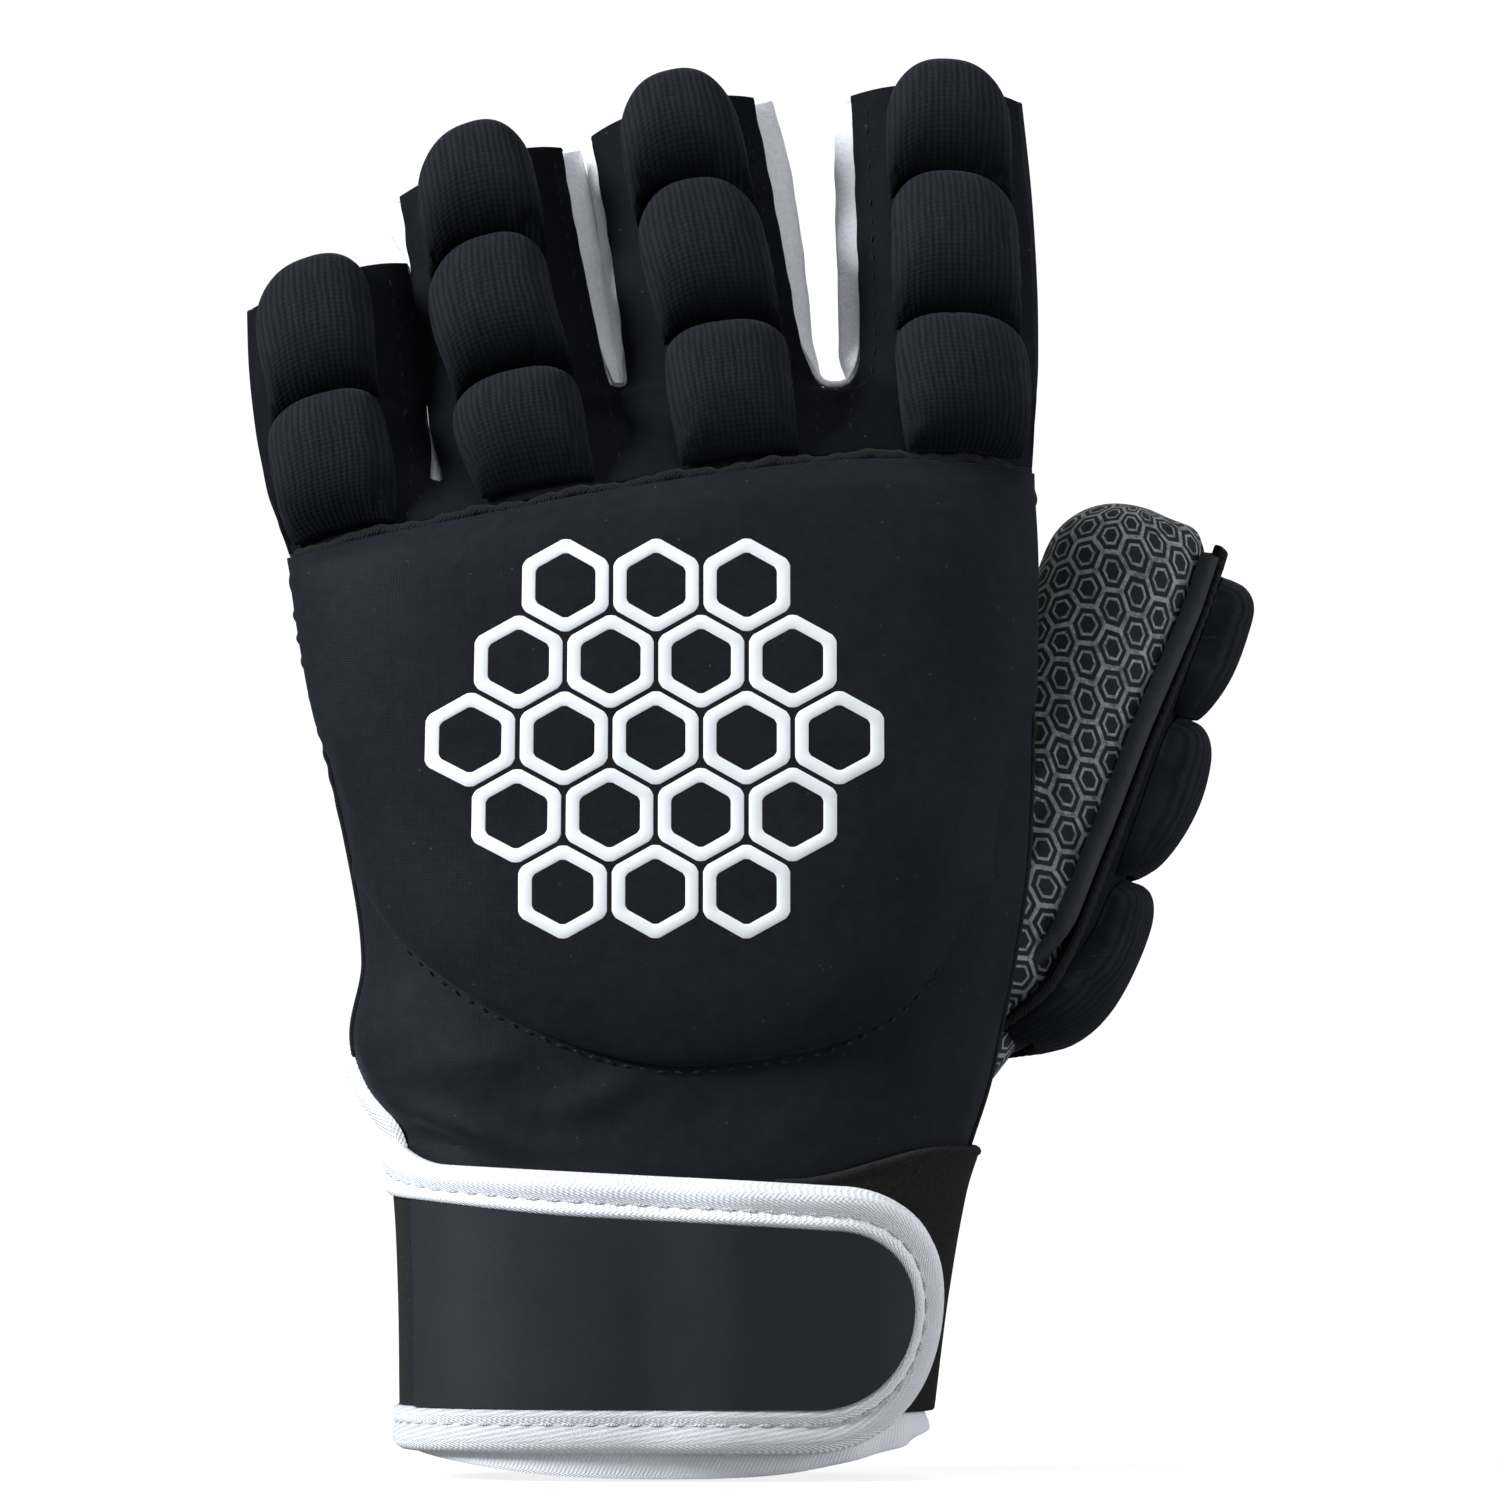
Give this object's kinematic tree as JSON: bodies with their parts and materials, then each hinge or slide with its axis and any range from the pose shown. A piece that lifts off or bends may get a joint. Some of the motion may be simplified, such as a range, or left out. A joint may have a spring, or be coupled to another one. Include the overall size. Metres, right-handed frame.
{
  "type": "field hockey glove",
  "caption": "Left-hand half-finger field hockey glove with foam blocks on the fingers and thumb, a padded shell over the back of the hand, a printed palm and a wrapped wrist strap.",
  "frame": {"origin": "middle of the wrist opening, at the hem, where the forearm comes out", "axes": "+Z from the wrist to the fingertips, -Y is the back of the hand and +Y the palm, +X the thumb side"},
  "size_m": [0.1523, 0.0688, 0.2119],
  "materials": {
    "black_fabric": "matte laminated stretch fabric",
    "rib_knit": "matte ribbed knit over foam",
    "printed_palm": "matte synthetic suede with a grey grip print",
    "white_side_wall": "matte brushed stretch fabric",
    "white_binding": "matte twill tape",
    "patch_rubber": "satin",
    "loop_pile": "brushed loop pile"
  },
  "bodies": {
    "root": {"finger_panel": "black_fabric", "little_pad_1": "rib_knit", "little_pad_2": "rib_knit", "ring_pad_1": "rib_knit", "ring_pad_2": "rib_knit", "ring_pad_3": "rib_knit", "middle_pad_1": "rib_knit", "middle_pad_2": "rib_knit", "middle_pad_3": "rib_knit", "index_pad_1": "rib_knit", "index_pad_2": "rib_knit", "index_pad_3": "rib_knit", "side_wall_little_ring": "white_side_wall", "side_wall_ring_middle": "white_side_wall", "side_wall_middle_index": "white_side_wall", "back_panel": "black_fabric", "back_pad": "black_fabric", "palm_panel": "printed_palm", "thumb_sleeve": "printed_palm", "thumb_strip": "black_fabric", "thumb_piping": "black_fabric", "thumb_pad_1": "rib_knit", "thumb_pad_2": "rib_knit", "thumb_pad_3": "rib_knit", "strap": "loop_pile", "strap_patch": "patch_rubber", "strap_binding": "white_binding", "loop_tab": "loop_pile", "slit_binding": "white_binding", "hem_binding": "white_binding"}
  },
  "joints": []
}
